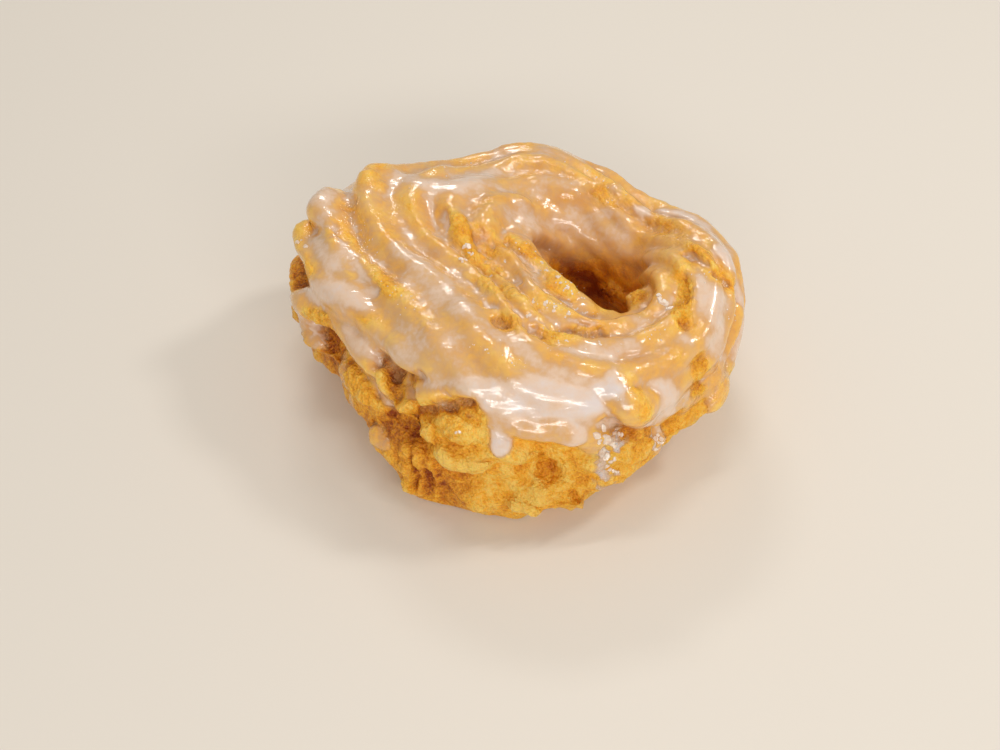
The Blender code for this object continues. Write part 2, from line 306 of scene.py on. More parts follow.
def move_to(obj, points):
    obj.data.vertices.foreach_set("co", (points * MM).ravel())
    obj.data.update()


def facings(obj):
    values = np.empty(len(obj.data.vertices) * 3)
    obj.data.vertices.foreach_get("normal", values)
    return values.reshape(-1, 3)


def smooth_step(low, high, values):
    share = np.clip((values - low) / (high - low), 0.0, 1.0)
    return share * share * (3.0 - 2.0 * share)


def paint(obj, name, values):
    """Stores one number at each point, for a material to read."""
    layer = obj.data.attributes.get(name) or obj.data.attributes.new(name, "FLOAT", "POINT")
    layer.data.foreach_set("value", values.astype(np.float32))


def weigh(obj, name, values):
    """Paints a vertex group."""
    group = obj.vertex_groups.new(name=name)
    for index, value in enumerate(values):
        if value > 0.0:
            group.add([index], float(value), "REPLACE")


def levelled(obj, passes):
    """The object's points and facings after its relief is smoothed away."""
    copy = add_object("levelled", obj.data.copy())
    apply_modifier(copy, "SMOOTH", factor=SMOOTHING, iterations=passes)
    points, directions = places(copy), facings(copy)
    bpy.data.objects.remove(copy)
    return points, directions


def wander(points, size, seed):
    """Noise from about -1 to 1 with lumps of this size in millimetres."""
    shift = Vector((seed, seed * 0.7, -seed))
    return np.array([noise.noise(Vector(p) / size + shift) for p in points]) * 2.0


cad_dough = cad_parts["cruller"]
plain_surface = BVHTree.FromPolygons(
    [point.co for point in cad_dough.data.vertices],
    [face.vertices for face in cad_dough.data.polygons],
)

# The photo in pixels, and how far off, in metres, a ray that misses the dough looks for its edge.
PHOTO_WIDTH = 1000
PHOTO_HEIGHT = 750
RAY_STEPS = np.arange(0.2, 0.4, 0.002)


def photo_ray(across, down):
    """The way that the camera looks through this photo pixel."""
    focus = LENS / SENSOR * PHOTO_WIDTH
    ray = Vector((across - PHOTO_WIDTH / 2, PHOTO_HEIGHT / 2 - down, -focus))
    return Matrix.Rotation(CAMERA_TILT, 3, "X") @ ray.normalized()


def photo_places(pixels):
    """Where each photo pixel meets the dough, or just passes its edge, in millimetres."""
    hits = []
    for across, down in pixels:
        ray = photo_ray(across, down)
        hit = plain_surface.ray_cast(Vector(CAMERA_PLACE), ray)[0]
        if hit is None:
            passed = [Vector(CAMERA_PLACE) + ray * far for far in RAY_STEPS]
            found = [plain_surface.find_nearest(point) for point in passed]
            hit = min(found, key=lambda near: near[3])[0]
        hits.append(np.array(hit) / MM)
    return hits


def away_from(points, pixels, taper=0.0):
    """How far each point is from a way given in photo pixels, in millimetres. With a taper the
    way counts as that share narrower at its two ends."""
    path = photo_places(pixels)
    lengths = np.append(0.0, np.cumsum([np.linalg.norm(b - a) for a, b in zip(path, path[1:])]))
    nearest = np.full(len(points), np.inf)
    along = np.zeros(len(points))
    for index, (start, end) in enumerate(zip(path, path[1:])):
        line = end - start
        share = np.clip((points - start) @ line / (line @ line), 0.0, 1.0)
        away = np.linalg.norm(points - start - share[:, None] * line, axis=1)
        here = lengths[index] + share * (lengths[index + 1] - lengths[index])
        along = np.where(away < nearest, here, along)
        nearest = np.minimum(nearest, away)
    off_middle = np.abs(2.0 * along / lengths[-1] - 1.0)
    return nearest / (1.0 - taper * off_middle**2)


def strokes(points, table, edge, ragged=0.0):
    """The strengths of these strokes added up, each full inside this share of its reach."""
    total = np.zeros(len(points))
    for reach, strength, pixels in table.values():
        away = away_from(points, pixels) + ragged
        total += strength * (1.0 - smooth_step(edge * reach, reach, away))
    return total


dough = add_object("fried_dough", cad_dough.data.copy())
bpy.ops.object.mode_set(mode="EDIT")
bpy.ops.mesh.select_all(action="SELECT")
bpy.ops.mesh.remove_doubles(threshold=SAME_POINT)
bpy.ops.mesh.tris_convert_to_quads(face_threshold=QUAD_ANGLE, shape_threshold=QUAD_ANGLE)
bpy.ops.object.mode_set(mode="OBJECT")
bpy.ops.mesh.customdata_custom_splitnormals_clear()
apply_modifier(dough, "SUBSURF", levels=SUBDIVISIONS, render_levels=SUBDIVISIONS)

# The foot and the melted ridges are smoothed first, then the forms of this crust are raised.
plain_form = places(dough)
height = plain_form[:, 2]
from_hole = (plain_form[:, :2] - HOLE_MIDDLE) / HOLE_REACH
in_hole = 1.0 - smooth_step(*HOLE_FADE, np.linalg.norm(from_hole, axis=1))
on_foot = 1.0 - smooth_step(FOOT_HEIGHT - FOOT_BLEND, FOOT_HEIGHT + FOOT_BLEND, height)
on_foot *= 1.0 - in_hole
off_base = smooth_step(0.0, FLAT_BASE, height)
ragged = RAGGEDNESS * wander(plain_form, RAGGED_SIZE, seed=3.0)
weigh(dough, "foot", off_base * on_foot)
apply_modifier(dough, "SMOOTH", factor=SMOOTHING, iterations=FOOT_PASSES, vertex_group="foot")
evenly = np.clip(strokes(plain_form, SMOOTH_AREAS, SMOOTH_CORE, ragged), 0.0, 1.0)
weigh(dough, "smooth areas", evenly * off_base)
apply_modifier(
    dough, "SMOOTH", factor=SMOOTHING, iterations=EVEN_PASSES, vertex_group="smooth areas"
)
own_forms = strokes(plain_form, CRUST_FORMS, FORM_CORE, FORM_RAGS * ragged)
smooth_form = places(dough) + facings(dough) * (own_forms * off_base)[:, None]
move_to(dough, smooth_form)

# Then the relief of the crust, deepest where it is dry. It never goes below the flat base.
base_form, base_facings = levelled(dough, CREASE_PASSES)
cavity = ((base_form - smooth_form) * base_facings).sum(axis=1)
bare = np.clip(strokes(plain_form, BARE_CRUST, BARE_CORE, ragged), 0.0, 1.0)
crest_chance = CREST_CHANCE * wander(smooth_form, CREST_CHANCE_SIZE, seed=5.0)
crest = smooth_step(*CREST_RISE, -cavity + crest_chance)
dry = DRY_EVERYWHERE + DRY_FOOT * on_foot + DRY_BARE * bare + DRY_CRESTS * crest
dry = np.clip(dry + DRY_HOLE * in_hole, 0.0, 1.0)
weigh(dough, "all over", off_base)
weigh(dough, "dry crust", off_base * dry)
for name, (size, depth, where, settings) in CRUST_RELIEF.items():
    texture = bpy.data.textures.new(name, "CLOUDS")
    texture.noise_scale = size * MM
    for setting, value in settings.items():
        setattr(texture, setting, value)
    apply_modifier(
        dough,
        "DISPLACE",
        texture=texture,
        texture_coords="LOCAL",
        strength=depth * MM,
        mid_level=0.5,
        vertex_group=where,
    )
    bpy.data.textures.remove(texture)
rough_form = places(dough)
rough_form[:, 2] = np.maximum(rough_form[:, 2], 0.0)
move_to(dough, rough_form)

# What the crust's colour follows: creases and grit, darker partly as painted shade, and browning,
# which also holds painted shade in hollows, recesses and the hole.
fine_form, fine_facings = levelled(dough, GRIT_PASSES)
grit = ((fine_form - rough_form) * fine_facings).sum(axis=1)
paint(dough, "crease", ((base_form - rough_form) * base_facings).sum(axis=1))
paint(dough, "grit", grit)
low_down = 1.0 - smooth_step(*HOLE_DEPTHS, height)
browning_and_shade = strokes(plain_form, BROWNED_AND_SHADED, BROWN_AND_SHADE_CORE, BROWN_AND_SHADE_RAGS * ragged)
browning_and_shade += SHADE_IN_HOLE * in_hole * low_down + BROWN_ON_TOP * (1.0 - on_foot)
browning_and_shade += BROWN_BEHIND * on_foot * smooth_step(*FOOT_BEHIND, plain_form[:, 1])
paint(dough, "browning_and_shade", browning_and_shade)
bpy.ops.object.shade_smooth()


def linear(colour):
    """A linear colour from an sRGB hex value."""
    values = [int(colour[i : i + 2], 16) / 255.0 for i in (1, 3, 5)]
    return (*(v / 12.92 if v <= 0.04045 else ((v + 0.055) / 1.055) ** 2.4 for v in values), 1.0)


def new_material(name):
    material = bpy.data.materials.new(name)
    material.use_nodes = True
    return material


def add(material, kind, inputs, out=0, stops=(), **settings):
    """Adds a shader node, or sets the material's own shader, and gives one of its outputs. An
    input is a value or another node's output, and goes by its name, or by its number where Blender
    gives several the same name. Stops are the places and colours of a ramp, its two ends first."""
    tree = material.node_tree
    own = kind == "ShaderNodeBsdfPrincipled"
    node = tree.nodes["Principled BSDF"] if own else tree.nodes.new(kind)
    for name, value in settings.items():
        setattr(node, name, value)
    for name, value in inputs.items():
        if isinstance(value, bpy.types.NodeSocket):
            tree.links.new(value, node.inputs[name])
        else:
            node.inputs[name].default_value = value
    for index, (place, colour) in enumerate(stops):
        elements = node.color_ramp.elements
        element = elements[index] if index < 2 else elements.new(place)
        element.position, element.color = place, linear(colour)
    return node.outputs[out]


# Blender's noise stays between these values, all but a little of it.
NOISE = {"From Min": 0.32, "From Max": 0.68}

# What changes the crust's tone, from 0, pale, to 1, brown: creases and grit, by how many
# millimetres deep they are, darker the deeper, partly as painted shade, and then blotches, by size
# in millimetres. The two finest stand for single blisters of about 0.2 mm, too fine to show, so
# they are drawn coarser.
CRUST_TONE = 0.38
CRUST_DEPTHS = (("crease", 2.0, 0.15), ("grit", 0.2, 0.12))
CRUST_BLOTCHES = ((9.0, 0.12), (2.2, 0.10))
FINE_BLOTCHES = ((0.8, 0.09), (0.4, 0.06))


def crust_colour(material):
    """Gold, paler on the bumps and amber to brown in the creases, partly as painted shade, with
    browned patches and patches of painted shade.
    """
    point = add(material, "ShaderNodeTexCoord", {}, "Object")
    tone = add(material, "ShaderNodeAttribute", {}, "Fac", attribute_name="browning_and_shade")
    for name, depth, share in CRUST_DEPTHS:
        painted = add(material, "ShaderNodeAttribute", {}, "Fac", attribute_name=name)
        ends = {"From Min": -depth, "From Max": depth, "To Min": -share, "To Max": share}
        part = add(material, "ShaderNodeMapRange", {"Value": painted, **ends})
        tone = add(material, "ShaderNodeMath", {0: tone, 1: part}, operation="ADD")
    grain = add(material, "ShaderNodeAttribute", {}, "Fac", attribute_name="grain")
    for size, share in CRUST_BLOTCHES + FINE_BLOTCHES:
        spots = {"Vector": point, "Scale": 1.0 / (size * MM), "Detail": 2.0}
        spots = add(material, "ShaderNodeTexNoise", spots)
        ends = {**NOISE, "To Min": -share, "To Max": share}
        part = add(material, "ShaderNodeMapRange", {"Value": spots, **ends})
        strength = grain if (size, share) in FINE_BLOTCHES else 1.0
        parts = {0: part, 1: strength, 2: tone}
        tone = add(material, "ShaderNodeMath", parts, operation="MULTIPLY_ADD")
    tone = add(material, "ShaderNodeMath", {0: tone, 1: CRUST_TONE}, operation="ADD")
    stops = ((0.12, CRUST_PALE), (0.98, CRUST_BROWN), (0.42, CRUST_GOLD), (0.70, CRUST_AMBER))
    return add(material, "ShaderNodeValToRGB", {"Fac": tone}, stops=stops)


# Real blisters are about 0.5 mm across and crumbs 0.2 mm. Both are too fine to show, so they are
# drawn this coarse, in millimetres.
BLISTER_SIZE = 1.1
CRUMB_SIZE = 0.7
CRUMB_DEPTH = -0.45


def crust_grain(material, depth):
    """Blisters and crumbs too fine for the mesh, as a bump of this depth in millimetres."""
    strength = add(material, "ShaderNodeAttribute", {}, "Fac", attribute_name="grain")
    point = add(material, "ShaderNodeTexCoord", {}, "Object")
    blisters = {"Vector": point, "Scale": 1.0 / (BLISTER_SIZE * MM)}
    blisters.update({"Detail": 5.0, "Roughness": 0.65})
    blisters = add(material, "ShaderNodeTexNoise", blisters)
    crumbs = {"Vector": point, "Scale": 1.0 / (CRUMB_SIZE * MM), "Randomness": 1.0}
    crumbs = add(material, "ShaderNodeTexVoronoi", crumbs, "Distance")
    parts = {0: crumbs, 1: CRUMB_DEPTH, 2: blisters}
    grain = add(material, "ShaderNodeMath", parts, operation="MULTIPLY_ADD")
    bump = {"Height": grain, "Strength": strength, "Distance": depth * MM}
    return add(material, "ShaderNodeBump", bump)


GLAZE_FILM = "#DAAC6C"
GLAZE_PEACH = "#D4A97C"
GLAZE_MILKY = "#E6C9B0"
GLAZE_LILAC = "#E3D8D5"

# Unevenness of the glaze, by size in millimetres, then the depths over which it hides the crust
# and turns from peach to lilac. Its depth is painted on: below 0 is crust with some sugar in it.
GLAZE_BLOTCHES = ((3.2, 0.07), (1.1, 0.07))
HIDING = {"From Min": -0.4, "From Max": 0.60, "To Min": 0.0, "To Max": 0.96}
TURNING = {"From Min": 0.0, "From Max": 1.2}


def glazed_colour(material):
    """The crust's colour under its sugar: bare, veiled with peach, or hidden by milky lilac."""
    depth = add(material, "ShaderNodeAttribute", {}, "Fac", attribute_name="glaze depth")
    point = add(material, "ShaderNodeTexCoord", {}, "Object")
    for size, change in GLAZE_BLOTCHES:
        spots = {"Vector": point, "Scale": 1.0 / (size * MM), "Detail": 2.0}
        spots = add(material, "ShaderNodeTexNoise", spots)
        ends = {**NOISE, "To Min": -change, "To Max": change}
        part = add(material, "ShaderNodeMapRange", {"Value": spots, **ends})
        depth = add(material, "ShaderNodeMath", {0: depth, 1: part}, operation="ADD")
    share = add(material, "ShaderNodeMapRange", {"Value": depth, **HIDING})
    place = add(material, "ShaderNodeMapRange", {"Value": depth, **TURNING})
    stops = ((0.05, GLAZE_FILM), (0.95, GLAZE_LILAC), (0.35, GLAZE_PEACH), (0.62, GLAZE_MILKY))
    milk = add(material, "ShaderNodeValToRGB", {"Fac": place}, stops=stops)
    parts = {0: share, 6: crust_colour(material), 7: milk}
    return add(material, "ShaderNodeMix", parts, 2, data_type="RGBA")


FILM_DEPTHS = {"From Min": -0.3, "From Max": 0.1}
GLASSY_DEPTHS = {"From Min": 0.1, "From Max": 0.7}


def glazed_gloss(material, dry, film, glassy):
    """A value that goes from dry crust, by a thin film of sugar, to a deep glassy coat."""
    depth = add(material, "ShaderNodeAttribute", {}, "Fac", attribute_name="glaze depth")
    thin = {"Value": depth, **FILM_DEPTHS, "To Min": dry, "To Max": film}
    thin = add(material, "ShaderNodeMapRange", thin)
    deep = {"Value": depth, **GLASSY_DEPTHS, "To Min": 0.0, "To Max": glassy - film}
    deep = add(material, "ShaderNodeMapRange", deep)
    return add(material, "ShaderNodeMath", {0: thin, 1: deep}, operation="ADD")


# Fried choux crust: a dry, slightly oily skin of blisters. To the eye it is a soft gold, and where
# a film of sugar soaked in, it is paler and each grain sparkles.
crust = new_material("fried choux crust")
shader = {
    "Base Color": glazed_colour(crust),
    "Roughness": glazed_gloss(crust, dry=0.38, film=0.24, glassy=0.2),
    "IOR": 1.46,
    "Subsurface Weight": 0.18,
    "Subsurface Radius": (1.0, 0.45, 0.15),
    "Subsurface Scale": 1.5 * MM,
    "Normal": crust_grain(crust, depth=0.85),
}
add(crust, "ShaderNodeBsdfPrincipled", shader)
dough.data.materials.clear()
dough.data.materials.append(crust)
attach(dough, "root")
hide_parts("cruller")


# The glaze: icing sugar and milk, poured on warm. It set as one thin glossy skin over the top,
# milky where it pooled between the ridges and ran off the edge in drops, and so thin on the
# crests that the crust stands out of it.

# How low it reaches, in millimetres over the floor, at even steps round the ring from the right,
# and how its edge wanders: with the rags, and in curtains that are drawn out downwards.
RING_MIDDLE = (0.7, 1.1)
GLAZE_REACH = (14.0, 20.0, 24.0, 24.0, 24.0, 24.0, 24.0, 23.0, 24.0, 27.0, 24.0, 18.0)
GLAZE_EDGE_FADE = 2.2
EDGE_RAGS = 1.6
CURTAIN_DEPTH = 3.5
CURTAIN_SIZE = 8.0
CURTAIN_STRETCH = (1.0, 1.0, 0.2)

# The film in millimetres: everywhere, where it pooled, on the crests, by chance in patches and
# spots, and on bare crust. The skin ends where it is thinner than the least.
FILM = 0.22
FILM_POOLED = 0.28
FILM_CRESTS = -0.24
FILM_PATCHES = 0.12
FILM_SPOTS = 0.10
FILM_BARE = -0.8
PATCH_SIZE = 6.0
SPOT_SIZE = 2.4
POOL_DEPTHS = (-0.3, 1.1)
POOL_CHANCE = 0.3
GLAZE_LEAST = -0.35
NO_GLAZE = -1.3

# Down the wall of the hole: heights, and the film there.
WALL_TOP = 32.0
WALL_HEIGHTS = (8.0, 21.0, 30.0)
WALL_FILM = (-0.6, -0.35, 0.12)
WALL_THICK = 0.7

# Where the photo shows thick glaze: reach in millimetres, how much, and the way in photo pixels.
# A stroke narrows towards its ends, is full inside the first share of its reach, and is gone at
# the second. Its edge wanders with the rags and by chance.
THICK_TAPER = 0.55
THICK_CORE = 0.2
THICK_END = 1.15
THICK_DEPTH = 0.8
THICK_RAGS = 0.4
THICK_CHANCE = 0.9
THICK_CHANCE_SIZE = 4.0
THICK_GLAZE = {
    "wide band, upper": (6.0, 0.7, ((392, 240), (412, 254), (430, 272), (448, 294), (468, 314))),
    "wide band, middle": (4.4, 0.65, ((468, 314), (494, 333), (516, 348), (541, 368))),
    "wide band, lower": (3.8, 0.75, ((541, 368), (570, 378), (596, 386))),
    "opaque patch on the band": (5.6, 1.5, ((597, 386), (614, 392))),
    "top of the front bulge": (5.4, 1.2, ((462, 388), (500, 392), (560, 394), (596, 396))),
    "brow of the front bulge": (5.4, 1.4, ((486, 404), (530, 409), (600, 408))),
    "underside of the bulge": (5.6, 0.65, ((484, 424), (530, 430), (588, 420))),
    "apron of the bulge": (4.6, 0.7, ((474, 420), (496, 428), (530, 434))),
    "rim of the ridge end": (3.0, 0.8, ((620, 400), (634, 424), (650, 430), (656, 412))),
    "saddle right of it": (4.8, 1.1, ((654, 384), (668, 396), (672, 420))),
    "groove along the rim": (2.4, 0.7, ((600, 317), (632, 318), (650, 322))),
    "groove behind the band": (2.2, 0.5, ((487, 306), (540, 320), (594, 321))),
    "groove across the front": (3.4, 0.7, ((560, 350), (600, 357), (640, 345))),
    "cream lobe": (5.0, 0.65, ((392, 348), (425, 364))),
    "cream shoulder": (5.4, 0.85, ((322, 248), (345, 272))),
    "pink groove on the left": (3.6, 0.8, ((334, 232), (350, 256), (366, 278))),
    "left shoulder": (6.5, 0.9, ((312, 200), (322, 194), (334, 194))),
    "slope of the left shoulder": (4.5, 0.7, ((324, 208), (326, 226))),
    "lilac band": (4.8, 1.0, ((306, 292), (335, 292), (366, 308))),
    "streak below the band": (2.6, 0.9, ((344, 328), (356, 340), (372, 358))),
    "saddle over the dimple": (6.0, 0.6, ((420, 390), (450, 384), (470, 388))),
    "veil at the front left": (9.0, 0.45, ((398, 306), (424, 336), (456, 360))),
    "beads in the front left": (3.4, 0.4, ((372, 330), (384, 344))),
    "translucent back left": (4.2, 0.75, ((394, 172), (414, 182))),
    "pour at the back left": (6.6, 1.0, ((424, 186), (460, 184), (490, 176))),
    "pour into the hole": (5.0, 0.6, ((494, 206), (520, 216), (548, 226))),
    "back wall of the hole": (6.0, 0.55, ((530, 226), (580, 228), (626, 240))),
    "low on the back wall": (6.0, 0.5, ((530, 238), (575, 248), (626, 252))),
    "arc on the back wall": (2.4, 0.5, ((588, 222), (612, 212), (644, 226))),
    "saddle behind the hole": (4.2, 0.45, ((500, 190), (545, 180), (580, 190))),
    "back hump": (4.0, 0.45, ((540, 148), (570, 160))),
    "spot at the back right": (2.4, 0.7, ((609, 187), (620, 193))),
    "start of the strip": (2.6, 1.0, ((636, 208), (650, 216))),
    "strip on the right": (3.2, 1.2, ((660, 214), (680, 214), (706, 232), (729, 262), (741, 298))),
    "lobe on the right": (6.2, 0.95, ((702, 284), (716, 306), (716, 334))),
    "lower lobe on the right": (4.4, 0.75, ((706, 340), (722, 356))),
    "patch before the groove": (2.8, 0.6, ((676, 338), (690, 344))),
    "right edge": (4.0, 0.95, ((740, 300), (742, 328), (736, 356))),
}

# Where it runs off in drips: reach, how thick, how milky, and the way. A drip is round across,
# and falls off this steeply past its reach. Its root sinks into the crust.
MILKINESS = 0.6
DRIP_EDGE = 0.7
DRIP_ROOT = 0.25
DRIPS = {
    "drip on the left": (2.9, 1.5, 0.5, ((292, 302), (302, 322), (314, 340))),
    "film down the left": (1.8, 0.5, 0.2, ((342, 352), (346, 380), (354, 404))),
    "root of the small drop": (3.0, 0.9, 0.9, ((499, 424), (501, 434))),
    "small drop in front": (2.9, 1.7, 1.0, ((500, 434), (501, 445))),
    "large drop in front": (3.3, 1.7, 0.85, ((562, 426), (574, 437))),
    "wide drop in front": (3.0, 1.2, 0.5, ((548, 426), (560, 432))),
    "drop on the right": (3.6, 2.0, 0.12, ((712, 372), (720, 386), (717, 402))),
    "drip under the right": (2.2, 1.0, 0.5, ((662, 432), (658, 448))),
    "bead at the folded lobe": (2.4, 0.8, 0.25, ((376, 432), (386, 442))),
}

# Where sugar dried white on the bare crust: reach, how thick, and the way.
SUGAR_CORE = 0.5
SUGAR_RAGS = 1.4
SUGAR_RAG_SIZE = 1.8
DRIED_SUGAR = {
    "under the large drop": (3.0, 1.1, ((600, 432), (606, 440), (616, 444))),
    "run down from it": (2.2, 1.0, ((604, 448), (600, 462), (606, 478))),
    "run on the right": (1.9, 0.9, ((658, 434), (656, 448))),
}

# The grit of the crust shows through thin milk, and its grain fades under it, each between two
# thicknesses.
GRIT_MOST = 0.2
GRIT_SHOWS = 2.0
GRIT_HIDDEN = (0.35, 0.75)
SOAKED_IN = 0.1
GRAIN_TOP = 0.45
GRAIN_BARE = 1.5
GRAIN_HIDDEN = (-0.2, 0.45)
GRAIN_LOST = 0.85
GRAIN_LEAST = 0.03

# Rounds of evening out, the thicknesses over which the poured skin levels itself, lies still and
# covers the crust, the least of it over the crust, and how far its underside is in it.
SPREAD_PASSES = 3
LIFT_PASSES = 2
LEVEL_PASSES = 8
STILL_PASSES = 60
LEVELLING = (0.1, 0.65)
STILLING = (0.4, 0.9)
COVERING = (0.15, 0.4)
LEAST_COVER = 0.18
UNDERSIDE = 0.45


def ring_value(values, turns):
    """Values given at even steps round the ring, read at any turn."""
    steps = np.append(values, values[0])
    return np.interp(turns % (2 * math.pi) / (2 * math.pi) * len(values), range(len(steps)), steps)


def spread(obj, values, passes):
    """Evens out one number per point with its neighbours."""
    ends = np.empty(len(obj.data.edges) * 2, dtype=int)
    obj.data.edges.foreach_get("vertices", ends)
    one, other = ends.reshape(-1, 2).T
    count = np.bincount(ends, minlength=len(values))
    for _ in range(passes):
        total = np.bincount(one, values[other], len(values))
        total += np.bincount(other, values[one], len(values))
        values = 0.5 * values + 0.5 * total / count
    return values


turns = np.arctan2(plain_form[:, 1] - RING_MIDDLE[1], plain_form[:, 0] - RING_MIDDLE[0])
reach = ring_value(GLAZE_REACH, turns)
curtain = wander(plain_form * np.array(CURTAIN_STRETCH), CURTAIN_SIZE, seed=8.0)
edge = height - reach + EDGE_RAGS * ragged + CURTAIN_DEPTH * curtain
cover = smooth_step(-GLAZE_EDGE_FADE, GLAZE_EDGE_FADE, edge)

# The thick strokes, and the drips with how milky each is.
uneven = THICK_RAGS * ragged
uneven += THICK_CHANCE * wander(plain_form, THICK_CHANCE_SIZE, seed=17.0)
thick = np.zeros(len(plain_form))
for width, strength, pixels in THICK_GLAZE.values():
    away = away_from(plain_form, pixels, THICK_TAPER) + uneven
    fade = smooth_step(THICK_CORE * width, THICK_END * width, away)
    thick = np.maximum(thick, strength * (1.0 - fade))
drips = np.full(len(plain_form), NO_GLAZE)
milkiness = MILKINESS + thick
for width, strength, milky, pixels in DRIPS.values():
    away = away_from(plain_form, pixels) / width
    round_side = np.sqrt(np.clip(1.0 - away**2, 0.0, 1.0))
    round_side -= DRIP_EDGE * np.maximum(away - 1.0, 0.0)
    drips = np.maximum(drips, strength * round_side - DRIP_ROOT)
    milkiness = np.where(away < 1.0, milky, milkiness)

# The coat: the film, thick strokes in it, its edge, the wall of the hole, and the drips.
patches = wander(plain_form, PATCH_SIZE, seed=21.0)
pooled = smooth_step(*POOL_DEPTHS, cavity + POOL_CHANCE * patches)
film = FILM + FILM_POOLED * pooled + FILM_CRESTS * crest + FILM_PATCHES * patches
film += FILM_SPOTS * wander(plain_form, SPOT_SIZE, seed=31.0)
film = np.maximum(film + FILM_BARE * bare, 2.0 * GLAZE_LEAST)
thickened = np.maximum(film, film * (1.0 - thick) + THICK_DEPTH * thick)
thickness = np.where(thick > 0.0, thickened, film)
thickness = cover * thickness + (1.0 - cover) * NO_GLAZE
wall_film = np.interp(height, WALL_HEIGHTS, WALL_FILM) + WALL_THICK * thick
on_wall = thickness + in_hole * (wall_film - thickness)
thickness = np.where(height < WALL_TOP, on_wall, thickness)
thickness = np.maximum(thickness, np.where(drips > GLAZE_LEAST, drips, thickness))
thickness = spread(dough, thickness, SPREAD_PASSES)

# The crust shows the same depths, for the sugar that soaked in or dried on it.
sugar_rags = SUGAR_RAGS * wander(plain_form, SUGAR_RAG_SIZE, seed=41.0)
sugared = strokes(plain_form, DRIED_SUGAR, SUGAR_CORE, sugar_rags)
milk = np.minimum(thickness, spread(dough, milkiness, SPREAD_PASSES))
veil = np.where(sugared > 0.0, np.maximum(milk, sugared), milk)
broken = GRIT_SHOWS * np.clip(grit, -GRIT_MOST, GRIT_MOST)
broken *= 1.0 - smooth_step(*GRIT_HIDDEN, milk)
paint(dough, "glaze depth", veil + broken - SOAKED_IN)
grain = GRAIN_TOP + (1.0 - GRAIN_TOP) * np.clip(on_foot + GRAIN_BARE * bare, 0.0, 1.0)
grain *= 1.0 - GRAIN_LOST * smooth_step(*GRAIN_HIDDEN, milk)
paint(dough, "grain", np.maximum(grain, GRAIN_LEAST))

# The skin's upper side lies on ever smoother forms of the crust as it gets thicker.
soft_form, soft_facings = levelled(dough, LEVEL_PASSES)
still_form = levelled(dough, STILL_PASSES)[0]
levelling = smooth_step(*LEVELLING, thickness)[:, None]
stillness = smooth_step(*STILLING, thickness)[:, None]
glaze_top = rough_form + levelling * (soft_form - rough_form)
glaze_top += stillness * (still_form - soft_form)
glaze_top += soft_facings * thickness[:, None]
proud = ((glaze_top - rough_form) * soft_facings).sum(axis=1)
lift = np.maximum(LEAST_COVER - proud, 0.0) * smooth_step(*COVERING, thickness)
glaze_top += soft_facings * spread(dough, lift, LIFT_PASSES)[:, None]
sunk = np.minimum(((glaze_top - rough_form) * soft_facings).sum(axis=1), 0.0)
glaze_under = rough_form + soft_facings * (sunk - UNDERSIDE)[:, None]

# The dough's mesh is cut down to where there is glaze, given a second side, and laid in place.
glaze = add_object("sugar_glaze", dough.data.copy())
glaze.vertex_groups.clear()
paint(glaze, "glaze depth", milk + broken)
paint(glaze, "dough point", np.arange(len(thickness)))
bpy.ops.object.mode_set(mode="EDIT")
bpy.ops.mesh.select_mode(type="VERT")
bpy.ops.mesh.select_all(action="DESELECT")
bpy.ops.object.mode_set(mode="OBJECT")
glaze.data.vertices.foreach_set("select", thickness < GLAZE_LEAST)
bpy.ops.object.mode_set(mode="EDIT")
bpy.ops.mesh.delete(type="VERT")
bpy.ops.mesh.select_all(action="SELECT")
bpy.ops.mesh.delete_loose(use_verts=True, use_edges=True, use_faces=False)
bpy.ops.object.mode_set(mode="OBJECT")
skin_points = len(glaze.data.vertices)
apply_modifier(glaze, "SOLIDIFY", thickness=UNDERSIDE * MM, offset=-1.0)
dough_point = np.empty(len(glaze.data.vertices), dtype=np.float32)
glaze.data.attributes["dough point"].data.foreach_get("value", dough_point)
dough_point = dough_point.round().astype(int)
on_top = (np.arange(len(dough_point)) < skin_points)[:, None]
move_to(glaze, np.where(on_top, glaze_top[dough_point], glaze_under[dough_point]))
glaze.data.attributes.remove(glaze.data.attributes["dough point"])
bpy.ops.object.shade_smooth()


# Real wrinkles of the skin are about 0.3 mm apart, too fine to show, so they are drawn coarser.
WRINKLE_SIZE = 1.5
WRINKLE_DEPTH = 0.35
WRINKLE_STRETCH = (0.14, 1.0, 1.0)


def glaze_ripples(material):
    """Fine wrinkles of the set skin, drawn out along the front, over the grain of the crust."""
    point = add(material, "ShaderNodeTexCoord", {}, "Object")
    drawn_out = {0: point, 1: WRINKLE_STRETCH}
    drawn_out = add(material, "ShaderNodeVectorMath", drawn_out, operation="MULTIPLY")
    wrinkles = {"Vector": drawn_out, "Scale": 1.0 / (WRINKLE_SIZE * MM), "Detail": 1.0}
    bump = {
        "Height": add(material, "ShaderNodeTexNoise", wrinkles),
        "Strength": glazed_gloss(material, dry=0.0, film=0.2, glassy=0.7),
        "Distance": WRINKLE_DEPTH * MM,
        "Normal": crust_grain(material, depth=0.4),
    }
    return add(material, "ShaderNodeBump", bump)


